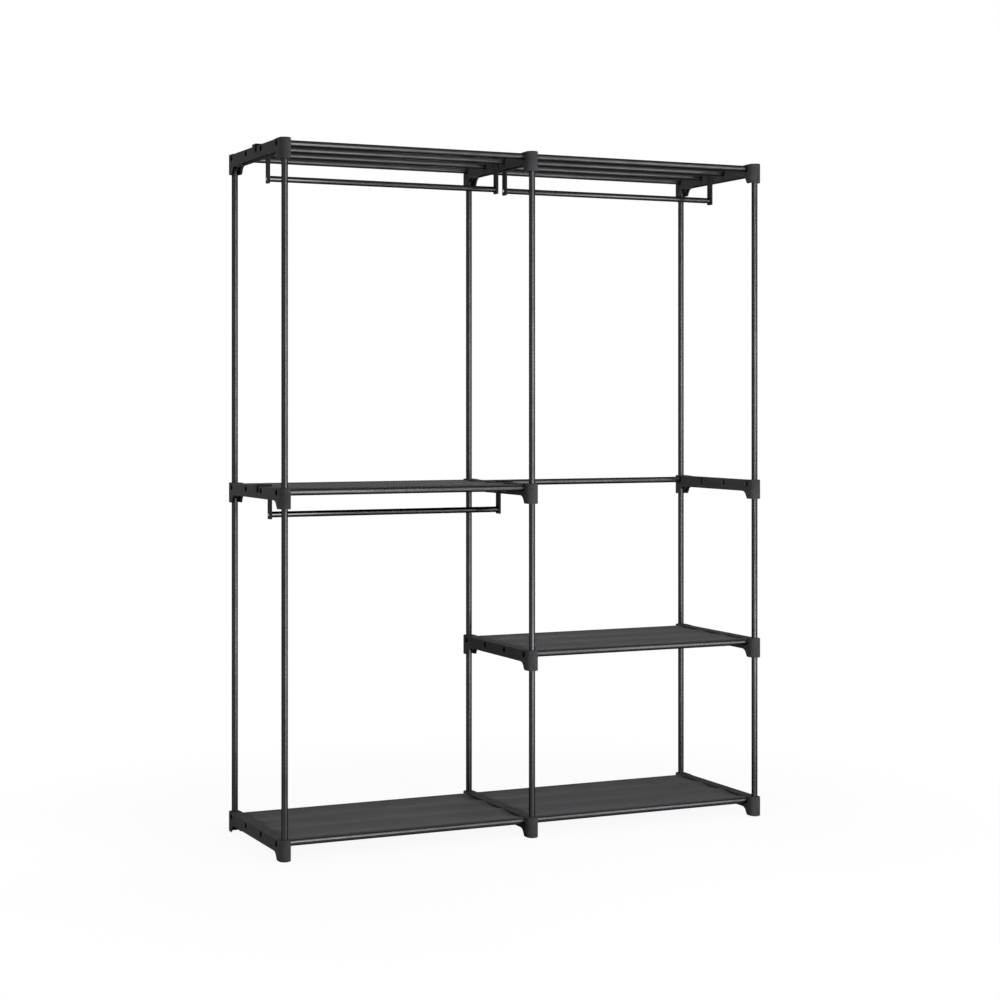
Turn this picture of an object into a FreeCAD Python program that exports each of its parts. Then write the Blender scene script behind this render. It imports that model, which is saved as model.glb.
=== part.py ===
import FreeCAD, Part
import math
import os

# Overall sizes, in millimetres: +X to the right, +Y to the back, +Z up, floor at zero
overall_height = 1740.0
bay_width = 660.0
post_spacing = 393.0
low_level_top = 474.0
mid_level_top = 897.0

# Tubes of the frame
tube_diameter = 16.0
tube_wall = 1.0
socket_clearance = 0.15
post_septum = 4.0
post_end_clearance = 0.3
tube_end_recess = 3.0
tube_meeting_gap = 2.0

# Side connector: a bar with a taller block at each end
connector_height = 51.0
connector_width = 30.0
connector_wall = 2.6
block_top_rounding = 1.4
block_bottom_rounding = 1.0
foot_rounding = 2.4
bar_underside = 20.0
bar_dip = 1.5
bar_dip_start = 15.0
bar_dip_end = 40.0
bar_roof = 3.0
bar_edge_rounding = 1.0
gusset_foot = 14.5
gusset_lean = 22.5
gusset_lean_height = 13.0
gusset_reach = 38.0

# Four tube sockets through the bar, and the ribs under it
socket_drop = 11.5
outer_socket_inset = 18.5
socket_count = 4
boss_wall = 2.2
rib_thickness = 1.6
rib_height = 6.0
ribs_per_socket_pitch = 4

# Hollow under each block, open towards the bar, with a web in its middle
pocket_wall = 3.0
web_thickness = 2.0
web_height = 10.0
web_reach = 31.5

# Fabric shelf panel, laid over the tubes
fabric_thickness = 1.5
fabric_clearance = 0.3
fabric_side_gap = 0.8

# Hanging rail: rod, two hook straps, two screws
rod_diameter = 15.0
rod_wall = 1.0
rod_plug_length = 20.0
top_rod_drop = 81.0
mid_rod_drop = 72.0
strap_thickness = 5.0
strap_width = 21.0
strap_tail = 11.6
strap_rounding = 2.0
hook_thickness = 4.5
hook_bridge = 5.0
hook_leg = 14.5
hook_rounding = 3.0
hook_side_clearance = 0.4
hook_seat_clearance = 0.2
left_top_rail_setback = -17.0
right_top_rail_setback = 6.0
left_mid_rail_setback = -32.0
screw_diameter = 4.0
screw_length = 18.0
screw_clearance = 0.1
screw_hole_clearance = 0.3
screw_head_diameter = 7.5
screw_head_height = 3.0
screw_head_rounding = 1.2
screw_slot_width = 1.1
screw_slot_length = 4.4
screw_slot_depth = 1.0

# One overrun for all cuts
overrun = 2.0

ALONG_X = FreeCAD.Vector(1, 0, 0)
ALONG_Y = FreeCAD.Vector(0, 1, 0)
ALONG_Z = FreeCAD.Vector(0, 0, 1)

# Places worked out from the sizes above
tube_radius = tube_diameter / 2
socket_radius = tube_radius + socket_clearance
half_width = connector_width / 2
post_seat_depth = (connector_height - post_septum) / 2
post_y = post_spacing / 2
frame_x = {"left": -bay_width, "centre": 0, "right": bay_width}
bay_frames = {"left": ("left", "centre"), "right": ("centre", "right")}
level_top = {"base": connector_height, "low": low_level_top, "mid": mid_level_top, "top": overall_height}
frame_levels = {
    "left": ("base", "mid", "top"),
    "centre": ("base", "low", "mid", "top"),
    "right": ("base", "low", "mid", "top"),
}
post_names = {2: ("lower", "upper"), 3: ("lower", "middle", "upper")}
side_y = {"front": -post_y, "back": post_y}
outer_socket_y = post_y - outer_socket_inset
socket_pitch = 2 * outer_socket_y / (socket_count - 1)
socket_ys = [socket_pitch * step - outer_socket_y for step in range(socket_count)]
shelf_bays = (("base", "left"), ("base", "right"), ("mid", "left"), ("low", "right"))
rack_bays = (("top", "left"), ("top", "right"))
rail_bays = (
    ("top", "left", left_top_rail_setback, top_rod_drop),
    ("top", "right", right_top_rail_setback, top_rod_drop),
    ("mid", "left", left_mid_rail_setback, mid_rod_drop),
)
railed_shelf = ("mid", "left")
short_backed_connector = ("centre", "mid")


def save(name, shape):
    shape.exportStep("parts/" + name + ".step")


def box(x_low, x_high, y_low, y_high, z_low, z_high):
    corner = FreeCAD.Vector(x_low, y_low, z_low)
    return Part.makeBox(x_high - x_low, y_high - y_low, z_high - z_low, corner)


def bar_x(radius, x_low, x_high, y, z):
    return Part.makeCylinder(radius, x_high - x_low, FreeCAD.Vector(x_low, y, z), ALONG_X)


def bar_z(radius, x, y, z_low, z_high):
    return Part.makeCylinder(radius, z_high - z_low, FreeCAD.Vector(x, y, z_low), ALONG_Z)


def edge_chain(points, closed_with_line=True):
    """Edges through the points. A point given with a middle point ends an arc."""
    edges = []
    last = points[0]
    for item in points[1:]:
        if isinstance(item, tuple):
            middle, end = item
            edges.append(Part.Arc(last, middle, end).toShape())
            last = end
        else:
            edges.append(Part.LineSegment(last, item).toShape())
            last = item
    if closed_with_line:
        edges.append(Part.LineSegment(last, points[0]).toShape())
    return edges


def prism(points, sweep, closed_with_line=True):
    wire = Part.Wire(edge_chain(points, closed_with_line))
    return Part.Face(wire).extrude(sweep)


# Connector, made about the middle of its bar with its foot at zero height
def connector_prism(bottom_rounding):
    """The connector's plan with round ends, over the full block height."""
    tip = post_y + half_width
    start = FreeCAD.Vector(-half_width, -post_y, 0)
    outline = [
        start,
        FreeCAD.Vector(-half_width, post_y, 0),
        (FreeCAD.Vector(0, tip, 0), FreeCAD.Vector(half_width, post_y, 0)),
        FreeCAD.Vector(half_width, -post_y, 0),
        (FreeCAD.Vector(0, -tip, 0), start),
    ]
    solid = prism(outline, ALONG_Z * connector_height, False)
    middle = connector_height / 2
    tops = [edge for edge in solid.Edges if edge.BoundBox.ZMin > middle]
    solid = solid.makeFillet(block_top_rounding, tops)
    bottoms = [edge for edge in solid.Edges if edge.BoundBox.ZMax < middle]
    return solid.makeFillet(bottom_rounding, bottoms)


def arch_tool():
    """The space under the bar, between the gussets of its two blocks."""
    foot = post_y - gusset_foot
    lean = post_y - gusset_lean
    reach = post_y - gusset_reach
    run = lean - reach
    rise = bar_underside - gusset_lean_height
    radius = (run * run + rise * rise) / (2 * rise)
    half_angle = math.atan2(run, radius - rise) / 2
    arc_y = reach + radius * math.sin(half_angle)
    arc_z = bar_underside - radius * (1 - math.cos(half_angle))
    x = -half_width - overrun

    def at(y, z):
        return FreeCAD.Vector(x, y, z)

    outline = [
        at(-foot, -overrun),
        at(-foot, 0),
        at(-lean, gusset_lean_height),
        (at(-arc_y, arc_z), at(-reach, bar_underside)),
        at(reach, bar_underside),
        (at(arc_y, arc_z), at(lean, gusset_lean_height)),
        at(foot, 0),
        at(foot, -overrun),
    ]
    return prism(outline, ALONG_X * (connector_width + 2 * overrun))


def dip_tool():
    """The shallow dip in the bar's top, ramped up to the blocks."""
    start = post_y - bar_dip_start
    end = post_y - bar_dip_end
    floor = connector_height - bar_dip
    x = -half_width - overrun

    def at(y, z):
        return FreeCAD.Vector(x, y, z)

    outline = [
        at(-start, connector_height),
        at(-end, floor),
        at(end, floor),
        at(start, connector_height),
        at(start, connector_height + overrun),
        at(-start, connector_height + overrun),
    ]
    return prism(outline, ALONG_X * (connector_width + 2 * overrun))


def channel_tool():
    """The hollow under the bar, less the socket bosses and cross ribs that stay in it."""
    end = post_y - gusset_reach - connector_wall
    inner = half_width - connector_wall
    roof = connector_height - bar_dip - bar_roof
    tool = box(-inner, inner, -end, end, bar_underside - overrun, roof)
    boss_radius = socket_radius + boss_wall
    kept = []
    for y in socket_ys:
        if abs(y) + boss_radius < end:
            kept.append(bar_x(boss_radius, -half_width, half_width, y, connector_height - socket_drop))
    rib_step = socket_pitch / ribs_per_socket_pitch
    rib_count = int(end / rib_step)
    for step in range(-rib_count, rib_count + 1):
        y = rib_step * step
        low = y - rib_thickness / 2
        high = y + rib_thickness / 2
        if high < end and low > -end:
            kept.append(box(-half_width, half_width, low, high, bar_underside + rib_height, connector_height))
    return tool.cut(kept)


def pocket_tool():
    """The hollow under the back block, open towards the bar, less its middle web."""
    inner = half_width - pocket_wall
    back = post_y + socket_radius
    tool = box(-inner, inner, post_y - gusset_reach, back, -overrun, bar_underside)
    half_web = web_thickness / 2
    web = box(-half_web, half_web, post_y - web_reach, back, bar_underside - web_height, connector_height)
    return tool.cut(web)


def skirt_tool():
    """All of the back block that hangs below the bar."""
    side = half_width + overrun
    return box(-side, side, 0, post_y + side, -overrun, bar_underside)


def edge_tool():
    """What the rounding takes off the bar's right top edge, along the dip."""
    end = post_y - bar_dip_end
    floor = connector_height - bar_dip
    arc_x = half_width - bar_edge_rounding
    arc_z = floor - bar_edge_rounding
    middle = bar_edge_rounding * math.cos(math.pi / 4)

    def at(x, z):
        return FreeCAD.Vector(x, -end, z)

    outline = [
        at(half_width, arc_z),
        (at(arc_x + middle, arc_z + middle), at(arc_x, floor)),
        at(arc_x, floor + overrun),
        at(half_width + overrun, floor + overrun),
        at(half_width + overrun, arc_z),
    ]
    return prism(outline, ALONG_Y * (2 * end))


def connector(post_above, post_below, back_skirt):
    rounding = block_bottom_rounding if post_below else foot_rounding
    flip = FreeCAD.Vector(0, 0, 0)
    tools = [arch_tool(), dip_tool(), channel_tool()]
    tools.append(edge_tool())
    tools.append(edge_tool().mirror(flip, ALONG_X))
    tools.append(pocket_tool().mirror(flip, ALONG_Y))
    tools.append(pocket_tool() if back_skirt else skirt_tool())
    for y in socket_ys:
        tools.append(bar_x(
            socket_radius, -half_width - overrun, half_width + overrun,
            y, connector_height - socket_drop,
        ))
    for y in side_y.values():
        if post_below:
            tools.append(bar_z(socket_radius, 0, y, -overrun, post_seat_depth))
        if post_above:
            seat = connector_height - post_seat_depth
            tools.append(bar_z(socket_radius, 0, y, seat, connector_height + overrun))
    return connector_prism(rounding).cut(tools)


def make_connectors():
    for frame, levels in frame_levels.items():
        for level in levels:
            back_skirt = (frame, level) != short_backed_connector
            shape = connector(level != levels[-1], level != levels[0], back_skirt)
            shape.translate(FreeCAD.Vector(frame_x[frame], 0, level_top[level] - connector_height))
            save(frame + "_" + level + "_connector", shape)


# Upright posts, each from one connector's seat to the next
def make_posts():
    bore = tube_radius - tube_wall
    for frame, levels in frame_levels.items():
        names = post_names[len(levels) - 1]
        for name, below, above in zip(names, levels, levels[1:]):
            low = level_top[below] - post_seat_depth
            high = level_top[above] - connector_height + post_seat_depth - post_end_clearance
            for side, y in side_y.items():
                x = frame_x[frame]
                hole = bar_z(bore, x, y, low - overrun, high + overrun)
                post = bar_z(tube_radius, x, y, low, high).cut(hole)
                save(frame + "_" + side + "_" + name + "_post", post)


# Cross tubes between two side frames
def tube_span(bay):
    """The two ends of a bay's tubes: short of the outer face, or of the tube in the next bay."""
    outer = bay_width + half_width - tube_end_recess
    inner = tube_meeting_gap / 2
    return (-outer, -inner) if bay == "left" else (inner, outer)


def cross_tube(level, bay, y):
    low, high = tube_span(bay)
    z = level_top[level] - socket_drop
    hole = bar_x(tube_radius - tube_wall, low - overrun, high + overrun, y, z)
    return bar_x(tube_radius, low, high, y, z).cut(hole)


def make_cross_tubes():
    inner_tubes = {}
    for level, bay in shelf_bays + rack_bays:
        save(bay + "_" + level + "_front_tube", cross_tube(level, bay, socket_ys[0]))
        save(bay + "_" + level + "_back_tube", cross_tube(level, bay, socket_ys[-1]))
        group = inner_tubes.setdefault(level, [])
        group.extend(cross_tube(level, bay, y) for y in socket_ys[1:-1])
    for level, tubes in inner_tubes.items():
        save(level + "_inner_tubes", Part.makeCompound(tubes))
    save("right_mid_back_tube", cross_tube("mid", "right", socket_ys[-1]))


# Fabric panels over the shelf tubes, up to the bars, or to the straps of a rail hung there
def strap_place():
    """The strap's two faces, measured from the side frame's middle into the bay."""
    face = half_width + hook_side_clearance
    return face, face + strap_thickness


def make_shelves():
    for level, bay in shelf_bays:
        low_frame, high_frame = bay_frames[bay]
        bottom = level_top[level] - socket_drop + tube_radius + fabric_clearance
        inset = half_width + fabric_side_gap
        if (level, bay) == railed_shelf:
            inset = strap_place()[1] + fabric_side_gap
        panel = box(
            frame_x[low_frame] + inset, frame_x[high_frame] - inset,
            -outer_socket_y, outer_socket_y,
            bottom, bottom + fabric_thickness,
        )
        save(bay + "_" + level + "_shelf", panel)


# Hanging rails. A strap is made for the left end, about its side frame, and mirrored for the right
def hook_strap(bar_top, rod_z, y):
    near, far = strap_place()
    leg_near = -near
    leg_far = leg_near - hook_thickness
    bridge_low = bar_top + hook_seat_clearance
    bridge_high = bridge_low + hook_bridge
    tail = rod_z - strap_tail
    front = y - strap_width / 2

    def at(x, z):
        return FreeCAD.Vector(x, front, z)

    outline = [
        at(near, tail),
        at(near, bridge_low),
        at(leg_near, bridge_low),
        at(leg_near, bar_top - hook_leg),
        at(leg_far, bar_top - hook_leg),
        at(leg_far, bridge_high),
        at(far, bridge_high),
        at(far, tail),
    ]
    solid = prism(outline, ALONG_Y * strap_width)
    crests = []
    for edge in solid.Edges:
        bounds = edge.BoundBox
        if bounds.ZMin > bridge_high - hook_bridge / 2 and bounds.YLength > strap_width / 2:
            crests.append(edge)
    solid = solid.makeFillet(hook_rounding, crests)
    toes = []
    for edge in solid.Edges:
        bounds = edge.BoundBox
        if bounds.ZMax < tail + strap_rounding / 2 and bounds.XLength > strap_thickness / 2:
            toes.append(edge)
    solid = solid.makeFillet(strap_rounding, toes)
    hole_radius = screw_diameter / 2 + screw_hole_clearance
    return solid.cut(bar_x(hole_radius, near - overrun, far + overrun, y, rod_z))


def rod(x_low, x_high, y, z):
    solid = bar_x(rod_diameter / 2, x_low, x_high, y, z)
    bore = bar_x(rod_diameter / 2 - rod_wall, x_low + rod_plug_length, x_high - rod_plug_length, y, z)
    hole_radius = screw_diameter / 2 + screw_clearance
    depth = screw_length - strap_thickness + overrun
    left_hole = bar_x(hole_radius, x_low - overrun, x_low + depth, y, z)
    right_hole = bar_x(hole_radius, x_high - depth, x_high + overrun, y, z)
    return solid.cut([bore, left_hole, right_hole])


def screw(seat_x, y, z):
    """A screw whose head rests on the strap at seat_x, with its shank to the right."""
    head = bar_x(screw_head_diameter / 2, seat_x - screw_head_height, seat_x, y, z)
    rims = [edge for edge in head.Edges if edge.BoundBox.XMax < seat_x - screw_head_height / 2]
    head = head.makeFillet(screw_head_rounding, rims)
    top = seat_x - screw_head_height
    half_slot = screw_slot_length / 2
    half_wide = screw_slot_width / 2
    slots = [
        box(top - overrun, top + screw_slot_depth, y - half_slot, y + half_slot, z - half_wide, z + half_wide),
        box(top - overrun, top + screw_slot_depth, y - half_wide, y + half_wide, z - half_slot, z + half_slot),
    ]
    shank = bar_x(screw_diameter / 2, seat_x, seat_x + screw_length, y, z)
    return head.cut(slots).fuse(shank)


def make_rails():
    near, far = strap_place()
    for level, bay, y, drop in rail_bays:
        low_x, high_x = (frame_x[frame] for frame in bay_frames[bay])
        bar_top = level_top[level] - bar_dip
        rod_z = level_top[level] - drop
        name = bay + "_" + level + "_rail_"
        left_strap = hook_strap(bar_top, rod_z, y)
        left_screw = screw(near, y, rod_z)
        flip = FreeCAD.Vector(0, 0, 0)
        right_strap = left_strap.mirror(flip, ALONG_X)
        right_screw = left_screw.mirror(flip, ALONG_X)
        for shape in (left_strap, left_screw):
            shape.translate(ALONG_X * low_x)
        for shape in (right_strap, right_screw):
            shape.translate(ALONG_X * high_x)
        save(name + "left_hook", left_strap)
        save(name + "right_hook", right_strap)
        save(name + "screws", Part.makeCompound([left_screw, right_screw]))
        save(name + "rod", rod(low_x + far, high_x - far, y, rod_z))


os.makedirs("parts", exist_ok=True)
make_connectors()
make_posts()
make_cross_tubes()
make_shelves()
make_rails()
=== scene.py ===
import bpy
import bmesh
import math
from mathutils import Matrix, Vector


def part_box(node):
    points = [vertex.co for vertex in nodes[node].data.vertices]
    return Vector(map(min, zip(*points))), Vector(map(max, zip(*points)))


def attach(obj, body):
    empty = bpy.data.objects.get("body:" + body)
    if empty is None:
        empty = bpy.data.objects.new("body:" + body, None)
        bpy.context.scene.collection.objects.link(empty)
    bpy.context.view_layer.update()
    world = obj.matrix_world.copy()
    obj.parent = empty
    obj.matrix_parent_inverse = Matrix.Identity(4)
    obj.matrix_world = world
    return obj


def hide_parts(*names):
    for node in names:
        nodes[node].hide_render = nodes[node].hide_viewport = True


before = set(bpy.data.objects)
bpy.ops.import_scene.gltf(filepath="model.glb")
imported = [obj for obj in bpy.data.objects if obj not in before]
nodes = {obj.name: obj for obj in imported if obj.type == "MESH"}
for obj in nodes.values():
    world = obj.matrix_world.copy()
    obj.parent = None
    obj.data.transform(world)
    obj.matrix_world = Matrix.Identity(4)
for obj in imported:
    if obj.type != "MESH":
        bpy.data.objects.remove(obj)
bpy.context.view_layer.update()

# The photograph's camera: metres, degrees, and millimetres for the lens and sensor
CAMERA_PLACE = (-2.2849, -4.9269, 1.0983)
CAMERA_TILT = 90.0
CAMERA_TURN = -24.91
CAMERA_LENS = 74.53
CAMERA_SENSOR = 36.0
CAMERA_SHIFT = (-0.0005, -0.0957)

# Cloth of the shelves, in metres
CLOTH_THICKNESS = 0.0011
CLOTH_STEP = 0.008
CLOTH_OVERHANG = 0.0055
CLOTH_SPREAD = 0.0005
WRAP_RADIUS = 0.0098
SIDE_DROOP = 0.0022
SIDE_REACH = 0.045
TUBE_REACH = 0.034
TUBE_GAPS = 3

# Sag of the cloth between two tubes, in metres. Waves make it uneven: each has its share of the sag,
# and its turns along and across the tubes
CLOTH_SAG = 0.0024
SAG_POWER = 1.5
SAG_WAVES = ((0.3, 5.3, 0.0), (0.2, 11.9, 2.1))
SAG_PHASE_BY_X = 7.0
SAG_PHASE_BY_Z = 11.0

# Hem of the cloth, in metres. The lines are the mesh lines beside the edge and beside the hem's inner side
HEM_WIDTH = 0.016
HEM_RISE = 0.0005
HEM_SLOPE = 0.0012
EDGE_ROUND = 0.0015
EDGE_LINES = (0.0, 0.0004, 0.0015, 0.0028, 0.0042, 0.0056, 0.009)
HEM_LINES = (-0.0016, -0.0006, 0.0, 0.0012)

# Stitches, in metres. Each ring has its share of the length, then its size and its lift in thread radii
STITCH_INSET = 0.0028
STITCH_LENGTH = 0.0036
STITCH_PITCH = 0.0048
STITCH_RADIUS = 0.0003
STITCH_SIDES = 6
STITCH_RINGS = (
    (0, 0.35, -0.6),
    (0.14, 0.85, 0.2),
    (0.5, 1.0, 0.5),
    (0.86, 0.85, 0.2),
    (1, 0.35, -0.6),
)
TUBES_UNDER = {
    "left_base_shelf": ["left_base_front_tube", "left_base_back_tube", "base_inner_tubes"],
    "right_base_shelf": ["right_base_front_tube", "right_base_back_tube", "base_inner_tubes"],
    "left_mid_shelf": ["left_mid_front_tube", "left_mid_back_tube", "mid_inner_tubes"],
    "right_low_shelf": ["right_low_front_tube", "right_low_back_tube", "low_inner_tubes"],
}

# Floor and surround, in metres and shares of white
FLOOR_SIZE = 60.0
FLOOR_DROP = 0.0005
FLOOR_COLOUR = (0.6, 0.6, 0.6, 1)
FLOOR_WHITE = 0.93
FLOOR_FADE_START = 0.75
FLOOR_FADE_END = 1.6
SURROUND_COLOUR = (1, 1, 1, 1)
SURROUND_LIGHT = 0.06

# Places of the sockets on a Mix node for colours
MIX_FACTOR = 0
MIX_FIRST = 6
MIX_SECOND = 7
MIX_RESULT = 2


# Helpers for nodes
class Graph:
    """A node tree, with short ways to add nodes to it and join them."""

    def __init__(self, tree):
        self.nodes = tree.nodes
        self.links = tree.links

    def add(self, kind, **settings):
        node = self.nodes.new(kind)
        for key, value in settings.items():
            setattr(node, key, value)
        return node

    def link(self, output, socket):
        self.links.new(output, socket)

    def join(self, operation, first, second):
        """The sum, product or larger one of two outputs."""
        node = self.add("ShaderNodeMath", operation=operation)
        self.link(first, node.inputs[0])
        self.link(second, node.inputs[1])
        return node.outputs[0]

    def ramp(self, value, low, high, start=0.3, end=0.7, shape="LINEAR"):
        """From low, where the value is at start, to high, where it is at end."""
        node = self.add("ShaderNodeMapRange", interpolation_type=shape)
        node.inputs["From Min"].default_value = start
        node.inputs["From Max"].default_value = end
        node.inputs["To Min"].default_value = low
        node.inputs["To Max"].default_value = high
        self.link(value, node.inputs["Value"])
        return node.outputs["Result"]


class Surface(Graph):
    """A material of one shader, with textures that lie in the object's own space."""

    def __init__(self, name):
        self.material = bpy.data.materials.new(name)
        self.material.use_nodes = True
        super().__init__(self.material.node_tree)
        self.shader = self.nodes["Principled BSDF"]
        self.place = self.add("ShaderNodeTexCoord").outputs["Object"]

    def shade(self, **inputs):
        """Links outputs to the shader's sockets, and sets plain values on the sockets themselves."""
        for key, value in inputs.items():
            socket = self.shader.inputs[key.replace("_", " ")]
            if isinstance(value, bpy.types.NodeSocket):
                self.link(value, socket)
            else:
                socket.default_value = value

    def stretched(self, scale):
        mapping = self.add("ShaderNodeMapping")
        mapping.inputs["Scale"].default_value = scale
        self.link(self.place, mapping.inputs["Vector"])
        return mapping.outputs["Vector"]

    def texture(self, node, vector=None, **inputs):
        """Sets a texture node's numbers and where it lies, and gives its outputs."""
        for key, value in inputs.items():
            node.inputs[key].default_value = value
        self.link(vector or self.place, node.inputs["Vector"])
        return node.outputs

    def noise(self, scale, detail, vector=None):
        return self.texture(self.add("ShaderNodeTexNoise"), vector, Scale=scale, Detail=detail)["Fac"]

    def mix(self, value, first, second):
        """From first, a colour or an output, to the colour second."""
        node = self.add("ShaderNodeMix", data_type="RGBA")
        self.link(value, node.inputs[MIX_FACTOR])
        if isinstance(first, tuple):
            node.inputs[MIX_FIRST].default_value = (*first, 1)
        else:
            self.link(first, node.inputs[MIX_FIRST])
        node.inputs[MIX_SECOND].default_value = (*second, 1)
        return node.outputs[MIX_RESULT]

    def bump(self, height, depth, strength, below=None):
        node = self.add("ShaderNodeBump")
        node.inputs["Distance"].default_value = depth
        node.inputs["Strength"].default_value = strength
        self.link(height, node.inputs["Height"])
        if below is not None:
            self.link(below, node.inputs["Normal"])
        return node.outputs["Normal"]

    def soft_edges(self, radius):
        """A normal that rounds the edges off, and a mask of where they are."""
        bevel = self.add("ShaderNodeBevel", samples=6)
        bevel.inputs["Radius"].default_value = radius
        face = self.add("ShaderNodeNewGeometry")
        across = self.add("ShaderNodeVectorMath", operation="DOT_PRODUCT")
        self.link(bevel.outputs["Normal"], across.inputs[0])
        self.link(face.outputs["Normal"], across.inputs[1])
        mask = self.ramp(across.outputs["Value"], 1.0, 0.0, start=0.8, end=0.995)
        return bevel.outputs["Normal"], mask

    def attribute(self, name):
        return self.add("ShaderNodeAttribute", attribute_name=name).outputs["Fac"]


# Materials
def moulded_plastic(name, dark, light, worn_and_lit_edge, roughness, gloss):
    """Matte moulded plastic: fine grain, faint flow marks, and edges a little lighter, partly rubbed wear
    and partly a painted highlight on the edges.
    """
    surface = Surface(name)
    rounded, edges = surface.soft_edges(radius=0.0009)
    flow = surface.noise(scale=14.0, detail=4.0, vector=surface.stretched((1.0, 0.5, 1.6)))
    body = surface.mix(surface.ramp(flow, 0.0, 1.0), dark, light)
    # The edges are lighter in colour: partly rubbed wear, partly a painted highlight for light caught on the
    # rims.
    edge_wear_and_highlight = surface.ramp(surface.noise(scale=45.0, detail=4.0), 0.15, 1.0)
    grain = surface.bump(surface.noise(scale=1500.0, detail=2.0), depth=0.00005, strength=0.5, below=rounded)
    surface.shade(
        Base_Color=surface.mix(surface.join("MULTIPLY", edges, edge_wear_and_highlight), body, worn_and_lit_edge),
        Roughness=surface.ramp(surface.noise(scale=60.0, detail=3.0), *roughness),
        Normal=surface.bump(flow, depth=0.0006, strength=0.2, below=grain),
        Specular_IOR_Level=gloss,
    )
    return surface.material


def powder_coat(name, dark, light, edge, roughness):
    """Satin powder coat over steel: soft orange peel and a few duller patches."""
    surface = Surface(name)
    patches = surface.noise(scale=22.0, detail=1.0)
    speckle = surface.bump(surface.noise(scale=2200.0, detail=1.0), depth=0.00001, strength=0.2)
    peel = surface.noise(scale=420.0, detail=2.0)
    surface.shade(
        Base_Color=surface.mix(surface.ramp(patches, 0.0, 1.0), dark, light),
        Roughness=surface.ramp(surface.noise(scale=14.0, detail=1.0), *roughness),
        Normal=surface.bump(peel, depth=0.00003, strength=0.12, below=speckle),
        Metallic=1.0,
        Specular_Tint=(*edge, 1),
    )
    return surface.material


def gloss_paint(name, dark, light, edge, roughness):
    """Gloss paint on the rods, with fine rings rubbed into it by hangers."""
    surface = Surface(name)
    rings = surface.noise(scale=1.0, detail=4.0, vector=surface.stretched((900.0, 6.0, 6.0)))
    rubbing = surface.ramp(rings, 0.0, 1.0, start=0.45, end=0.75)
    patches = surface.ramp(surface.noise(scale=9.0, detail=2.0), 0.2, 1.0)
    worn = surface.join("MULTIPLY", rubbing, patches)
    surface.shade(
        Base_Color=surface.mix(worn, dark, light),
        Roughness=surface.ramp(worn, *roughness, start=0.0, end=1.0),
        Normal=surface.bump(rings, depth=0.00002, strength=0.3),
        Metallic=1.0,
        Specular_Tint=(*edge, 1),
    )
    return surface.material


def zinc(name, stained, bright, roughness):
    """Bright zinc plate on the screw heads, a little stained."""
    surface = Surface(name)
    rounded, edges = surface.soft_edges(radius=0.0004)
    patches = surface.ramp(surface.noise(scale=300.0, detail=3.0), 0.3, 1.0)
    rims = surface.ramp(edges, 0.75, 1.0, start=0.0, end=1.0)
    grain = surface.noise(scale=2500.0, detail=2.0)
    surface.shade(
        Base_Color=surface.mix(surface.join("MULTIPLY", patches, rims), stained, bright),
        Roughness=surface.ramp(surface.noise(scale=900.0, detail=2.0), *roughness),
        Normal=surface.bump(grain, depth=0.00003, strength=0.4, below=rounded),
        Metallic=1.0,
    )
    return surface.material


def non_woven(name, dark, light, hem, roughness):
    """Charcoal non-woven cloth: pressed points in rows, matted fibres, soft mottling and darker hems, whose
    dark tone is partly the folded cloth's own and partly painted shade along the edges and beside the bars.
    """
    surface = Surface(name)
    fibres = surface.noise(scale=1.0, detail=5.0, vector=surface.stretched((700.0, 2600.0, 1200.0)))
    points = surface.texture(surface.add("ShaderNodeTexVoronoi"), Scale=620.0, Randomness=0.15)
    dots = surface.ramp(points["Distance"], 0.0, 1.0, start=0.15, end=0.45)
    patches = surface.ramp(surface.noise(scale=9.0, detail=1.0), 0.0, 0.22)
    mottle = surface.ramp(surface.noise(scale=85.0, detail=2.0), 0.0, 0.06)
    tone = surface.join("ADD", patches, mottle)
    tone = surface.join("ADD", tone, surface.ramp(dots, 0.0, 0.25, start=0.0, end=1.0))
    tone = surface.join("ADD", tone, surface.ramp(fibres, 0.0, 0.4))
    # The hem colour darkens the folded band: partly its own tone, partly painted shade along the edges and
    # beside the bars.
    hem_and_painted_shade = surface.join("MULTIPLY", surface.attribute("hem"), surface.ramp(fibres, 0.5, 1.0))
    pressed = surface.bump(dots, depth=0.0002, strength=0.5)
    surface.shade(
        Base_Color=surface.mix(hem_and_painted_shade, surface.mix(tone, dark, light), hem),
        Roughness=surface.ramp(fibres, *roughness),
        Normal=surface.bump(fibres, depth=0.0002, strength=0.4, below=pressed),
        Specular_IOR_Level=0.03,
        Sheen_Weight=0.02,
        Sheen_Roughness=0.6,
    )
    return surface.material


def thread(name, dark, light, roughness):
    """Twisted polyester sewing thread."""
    surface = Surface(name)
    wave = surface.add("ShaderNodeTexWave", bands_direction="DIAGONAL")
    twist = surface.texture(wave, Scale=900.0, Distortion=1.5)["Fac"]
    surface.shade(
        Base_Color=surface.mix(twist, dark, light),
        Roughness=surface.ramp(twist, *roughness, start=0.0, end=1.0),
        Normal=surface.bump(twist, depth=0.0001, strength=0.5),
        Specular_IOR_Level=0.2,
    )
    return surface.material


# Materials on the CAD nodes
def node_list(*endings):
    return sorted(name for name in nodes if name.endswith(endings))


def dress(names, material):
    for name in names:
        mesh = nodes[name].data
        mesh.materials.clear()
        mesh.materials.append(material)


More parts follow.
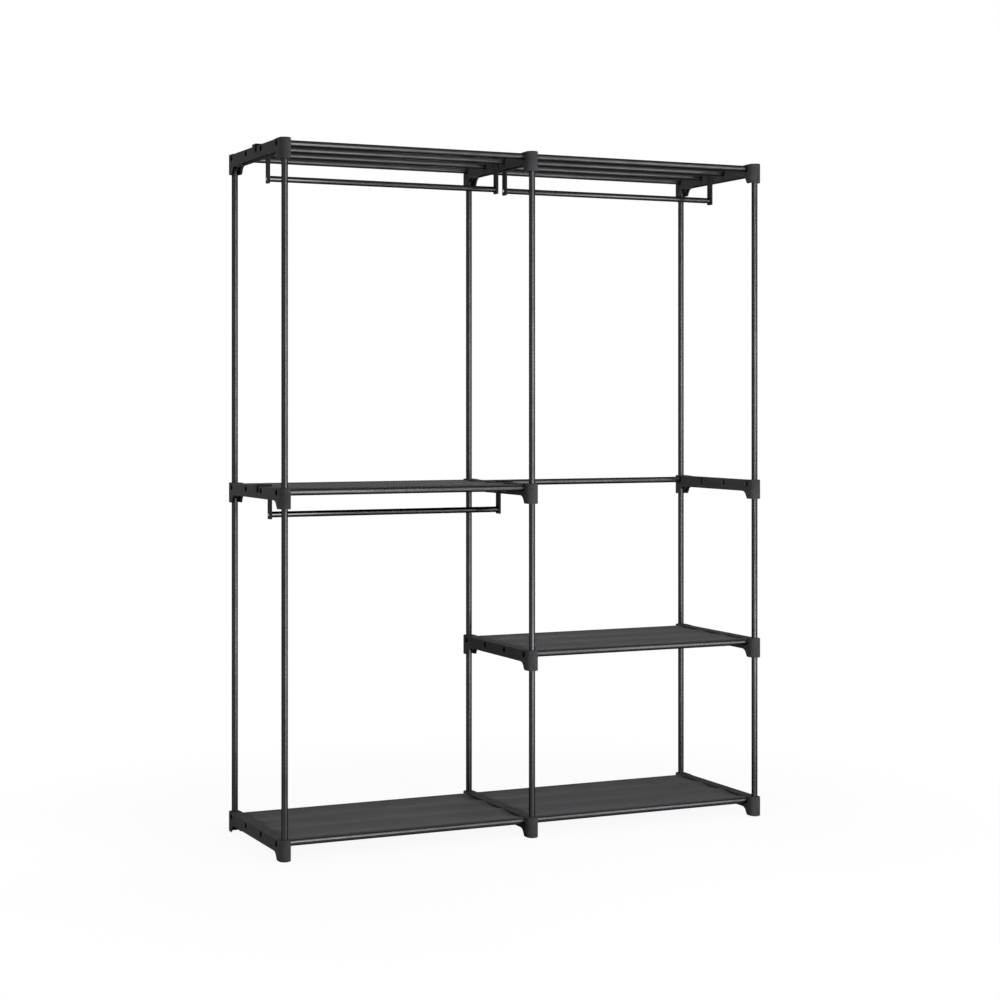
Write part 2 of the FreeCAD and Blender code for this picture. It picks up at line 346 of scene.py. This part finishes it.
dress(node_list("_connector"), moulded_plastic(
    "connector_plastic",
    dark=(0.027, 0.027, 0.0285),
    light=(0.037, 0.0369, 0.039),
    # The lighter edge colour: partly wear, partly a painted highlight.
    worn_and_lit_edge=(0.055, 0.055, 0.0575),
    roughness=(0.9, 1.0),
    gloss=0.02,
))
dress(node_list("_hook"), moulded_plastic(
    "hook_plastic",
    dark=(0.0105, 0.0105, 0.0112),
    light=(0.017, 0.017, 0.018),
    # The lighter edge colour: partly wear, partly a painted highlight.
    worn_and_lit_edge=(0.034, 0.034, 0.0355),
    roughness=(0.7, 0.85),
    gloss=0.06,
))
dress(node_list("_tube", "_tubes", "_post"), powder_coat(
    "tube_coat",
    dark=(0.0265, 0.0265, 0.0273),
    light=(0.0325, 0.0325, 0.0335),
    edge=(0.14, 0.14, 0.14),
    roughness=(0.29, 0.32),
))
dress(node_list("_rod"), gloss_paint(
    "rod_gloss",
    dark=(0.024, 0.024, 0.024),
    light=(0.034, 0.034, 0.034),
    edge=(0.12, 0.12, 0.12),
    roughness=(0.12, 0.2),
))
dress(node_list("_screws"), zinc(
    "screw_zinc",
    stained=(0.3, 0.3, 0.29),
    bright=(0.72, 0.72, 0.71),
    roughness=(0.26, 0.46),
))


# Fabric shelves
def ease(value):
    """A smooth step from 0 to 1."""
    value = min(max(value, 0.0), 1.0)
    return value * value * (3.0 - 2.0 * value)


def lines_across(low, high):
    """Mesh lines from edge to edge, close together where the hem is folded."""
    edge = [*EDGE_LINES, *(HEM_WIDTH + line for line in HEM_LINES)]
    first = low + edge[-1] + CLOTH_STEP / 2
    last = high - edge[-1] - CLOTH_STEP / 2
    steps = round((last - first) / CLOTH_STEP)
    inner = [first + (last - first) * i / steps for i in range(steps + 1)]
    return [low + line for line in edge] + inner + [high - line for line in reversed(edge)]


class Cloth:
    """The top of one shelf panel: hemmed all round, bent over the outer tubes, slack between the tubes."""

    def __init__(self, node):
        self.low, self.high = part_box(node)
        self.first_tube = self.low.y
        self.last_tube = self.high.y
        reach = Vector((CLOTH_SPREAD, CLOTH_OVERHANG, 0))
        self.low -= reach
        self.high += reach
        self.phase = self.low.x * SAG_PHASE_BY_X + self.low.z * SAG_PHASE_BY_Z

    def from_side(self, x):
        return min(x - self.low.x, self.high.x - x)

    def from_edge(self, x, y):
        return min(self.from_side(x), y - self.low.y, self.high.y - y)

    def hem(self, x, y):
        """One on the hem, zero inside it, and a short slope between them."""
        return 1.0 - ease((self.from_edge(x, y) - HEM_WIDTH + HEM_SLOPE / 2) / HEM_SLOPE)

    def uneven(self, x, depth):
        """How much the cloth sags at a place, as a share of the usual sag."""
        side = (x - self.low.x) / (self.high.x - self.low.x)
        waves = (
            share * math.sin(along * side + across * depth + self.phase)
            for share, along, across in SAG_WAVES
        )
        return 1.0 + sum(waves)

    def height(self, x, y):
        pitch = (self.last_tube - self.first_tube) / TUBE_GAPS
        depth = min(max((y - self.first_tube) / pitch, 0.0), TUBE_GAPS)
        within = depth - min(math.floor(depth), TUBE_GAPS - 1)
        slack = max(math.sin(math.pi * within), 0.0) ** SAG_POWER
        sag = CLOTH_SAG * slack * self.uneven(x, depth)
        from_tube = min(within, 1.0 - within) * pitch
        beside = 1.0 - ease(self.from_side(x) / SIDE_REACH)
        droop = SIDE_DROOP * ease(from_tube / TUBE_REACH) * beside
        past = max(self.first_tube - y, y - self.last_tube, 0.0)
        wrap = WRAP_RADIUS - math.sqrt(WRAP_RADIUS ** 2 - past ** 2)
        rounded = ease(self.from_edge(x, y) / EDGE_ROUND)
        top = self.high.z - HEM_RISE - sag - droop - wrap
        return top + HEM_RISE * self.hem(x, y) * rounded


def add_piece(name, mesh, material):
    data = bpy.data.meshes.new(name)
    mesh.to_mesh(data)
    mesh.free()
    data.materials.append(material)
    for polygon in data.polygons:
        polygon.use_smooth = True
    piece = bpy.data.objects.new(name, data)
    bpy.context.scene.collection.objects.link(piece)
    return piece


def cloth_panel(cloth, name, material):
    mesh = bmesh.new()
    hem = mesh.verts.layers.float.new("hem")
    rows = []
    for y in lines_across(cloth.low.y, cloth.high.y):
        row = []
        for x in lines_across(cloth.low.x, cloth.high.x):
            vertex = mesh.verts.new((x, y, cloth.height(x, y)))
            vertex[hem] = cloth.hem(x, y)
            row.append(vertex)
        rows.append(row)
    for near, far in zip(rows, rows[1:]):
        for i in range(len(near) - 1):
            mesh.faces.new((near[i], near[i + 1], far[i + 1], far[i]))
    piece = add_piece(name, mesh, material)
    solid = piece.modifiers.new("thickness", "SOLIDIFY")
    solid.thickness = CLOTH_THICKNESS
    solid.offset = -1
    return piece


def add_stitch(mesh, cloth, start, end):
    """One stitch: a short thread, sunk at both ends, lying on the cloth."""
    along = (end - start).normalized()
    across = Vector((-along.y, along.x, 0))
    rings = []
    for share, size, lift in STITCH_RINGS:
        middle = start.lerp(end, share)
        z = cloth.height(middle.x, middle.y) + STITCH_RADIUS * lift
        ring = []
        for k in range(STITCH_SIDES):
            angle = math.tau * k / STITCH_SIDES
            side = across * (math.cos(angle) * STITCH_RADIUS * size)
            rise = math.sin(angle) * STITCH_RADIUS * size
            ring.append(mesh.verts.new((middle.x + side.x, middle.y + side.y, z + rise)))
        rings.append(ring)
    for near, far in zip(rings, rings[1:]):
        for k in range(STITCH_SIDES):
            after = (k + 1) % STITCH_SIDES
            mesh.faces.new((near[k], near[after], far[after], far[k]))
    mesh.faces.new(rings[0][::-1])
    mesh.faces.new(rings[-1])


def hem_stitching(cloth, name, material):
    inset = HEM_WIDTH - STITCH_INSET
    low = Vector((cloth.low.x + inset, cloth.low.y + inset))
    high = Vector((cloth.high.x - inset, cloth.high.y - inset))
    corners = [low, Vector((high.x, low.y)), high, Vector((low.x, high.y))]
    mesh = bmesh.new()
    for start, end in zip(corners, corners[1:] + corners[:1]):
        run = (end - start).length
        count = int(run / STITCH_PITCH)
        pitch = run / count
        along = (end - start).normalized()
        for number in range(count):
            first = start + along * (pitch * number + (pitch - STITCH_LENGTH) / 2)
            add_stitch(mesh, cloth, first, first + along * STITCH_LENGTH)
    return add_piece(name, mesh, material)


cloth_material = non_woven(
    "shelf_cloth",
    dark=(0.0278, 0.0277, 0.0295),
    light=(0.045, 0.0448, 0.0474),
    # Darker hem: partly the folded cloth's own tone, partly painted shade along the edges and beside the
    # bars.
    hem=(0.0268, 0.0268, 0.0284),
    roughness=(0.86, 0.98),
)
thread_material = thread(
    "hem_thread",
    dark=(0.03, 0.03, 0.031),
    light=(0.07, 0.07, 0.072),
    roughness=(0.5, 0.75),
)
for shelf, tubes in TUBES_UNDER.items():
    cloth = Cloth(shelf)
    panel = cloth_panel(cloth, shelf + "_cloth", cloth_material)
    stitching = hem_stitching(cloth, shelf + "_stitching", thread_material)
    for piece in (panel, stitching):
        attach(piece, "frame")
    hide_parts(shelf)


# Floor, light and camera
def seen_directly(graph):
    """One for rays from the camera, off a gloss or through glass, and zero for the light on the object."""
    rays = graph.add("ShaderNodeLightPath").outputs
    seen = graph.join("MAXIMUM", rays["Is Camera Ray"], rays["Is Glossy Ray"])
    return graph.join("MAXIMUM", seen, rays["Is Transmission Ray"])


def white_stage():
    """A pale floor that fades into a white surround and keeps a soft shadow near the feet."""
    bpy.ops.mesh.primitive_plane_add(size=FLOOR_SIZE, location=(0, 0, -FLOOR_DROP))
    floor = bpy.context.object
    floor.name = "floor"
    material = bpy.data.materials.new("floor_white")
    material.use_nodes = True
    graph = Graph(material.node_tree)
    graph.nodes.clear()
    place = graph.add("ShaderNodeTexCoord").outputs["Object"]
    reach = graph.add("ShaderNodeVectorMath", operation="LENGTH")
    graph.link(place, reach.inputs[0])
    fade = graph.ramp(
        reach.outputs["Value"], FLOOR_WHITE, 1.0, FLOOR_FADE_START, FLOOR_FADE_END, shape="SMOOTHSTEP",
    )
    diffuse = graph.add("ShaderNodeBsdfDiffuse")
    diffuse.inputs["Color"].default_value = FLOOR_COLOUR
    glow = graph.add("ShaderNodeEmission")
    mix = graph.add("ShaderNodeMixShader")
    graph.link(graph.join("MULTIPLY", seen_directly(graph), fade), mix.inputs["Fac"])
    graph.link(diffuse.outputs[0], mix.inputs[1])
    graph.link(glow.outputs[0], mix.inputs[2])
    output = graph.add("ShaderNodeOutputMaterial")
    graph.link(mix.outputs[0], output.inputs["Surface"])
    floor.data.materials.append(material)


def white_world():
    """A surround that is white where it is seen or mirrored, and lights the object only a little."""
    world = bpy.data.worlds.new("surround")
    bpy.context.scene.world = world
    world.use_nodes = True
    graph = Graph(world.node_tree)
    back = graph.nodes["Background"]
    back.inputs["Color"].default_value = SURROUND_COLOUR
    level = graph.ramp(seen_directly(graph), SURROUND_LIGHT, 1.0, start=0.0, end=1.0)
    graph.link(level, back.inputs["Strength"])


def soft_box(name, place, aim, size, power, fills=True, mirrored=True):
    """A studio lamp.

    One that isn't mirrored makes no highlight, and one that doesn't fill lights no matt surface.
    """
    light = bpy.data.lights.new(name, "AREA")
    light.shape = "RECTANGLE"
    light.size, light.size_y = size
    light.energy = power
    lamp = bpy.data.objects.new(name, light)
    bpy.context.scene.collection.objects.link(lamp)
    lamp.location = place
    lamp.rotation_euler = (Vector(aim) - Vector(place)).to_track_quat("-Z", "Y").to_euler()
    lamp.visible_camera = False
    lamp.visible_diffuse = fills
    lamp.visible_glossy = mirrored


def photo_camera():
    data = bpy.data.cameras.new("camera")
    camera = bpy.data.objects.new("camera", data)
    bpy.context.scene.collection.objects.link(camera)
    camera.location = CAMERA_PLACE
    camera.rotation_euler = (math.radians(CAMERA_TILT), 0, math.radians(CAMERA_TURN))
    data.lens = CAMERA_LENS
    data.sensor_width = CAMERA_SENSOR
    data.shift_x, data.shift_y = CAMERA_SHIFT
    bpy.context.scene.camera = camera


white_stage()
white_world()

# Upright strips for the posts and cross tubes, and a broad one for the low ends of the posts
soft_box("front_upright", (0.05, -2.1, 1.02), aim=(0, 0, 1.02), size=(0.4, 2.0), power=50.0)
soft_box("front_right", (1.45, -1.9, 1.02), aim=(0.5, 0, 1.02), size=(0.4, 2.0), power=24.0, fills=False)
soft_box("front_foot", (0.35, -1.25, 0.22), aim=(0.2, 0, 0.25), size=(1.5, 0.36), power=6.0, fills=False)

# Level strips for the cross tubes
soft_box("front_low", (1.05, -1.9, 0.25), aim=(0.4, 0, 0.8), size=(1.6, 0.12), power=10.0)
soft_box("front_level", (1.05, -1.9, 1.2), aim=(0.4, 0, 1.3), size=(1.6, 0.12), power=16.0)
soft_box("front_high", (1.05, -1.9, 2.3), aim=(0.4, 0, 0.6), size=(1.6, 0.12), power=9.0)

# Plain light on the sides, back and top, and one strip for the tubes seen from behind
soft_box("left_fill", (-1.4, 0.15, 1.05), aim=(-0.6, 0, 1.05), size=(0.6, 2.2), power=13.0, mirrored=False)
soft_box("right_fill", (1.9, -0.3, 1.05), aim=(0.66, 0, 1.05), size=(0.6, 2.2), power=15.0, mirrored=False)
soft_box("back_fill", (-0.2, 2.1, 1.05), aim=(0, 0, 1.05), size=(1.6, 2.0), power=16.0, mirrored=False)
soft_box("top_fill", (0.0, -0.3, 2.7), aim=(0, 0, 0.4), size=(2.0, 1.2), power=19.0, mirrored=False)
soft_box("back_strip", (0.8, 2.2, 1.05), aim=(0, 0, 1.05), size=(0.5, 2.0), power=20.0)
photo_camera()
bpy.context.scene.view_settings.view_transform = "Standard"
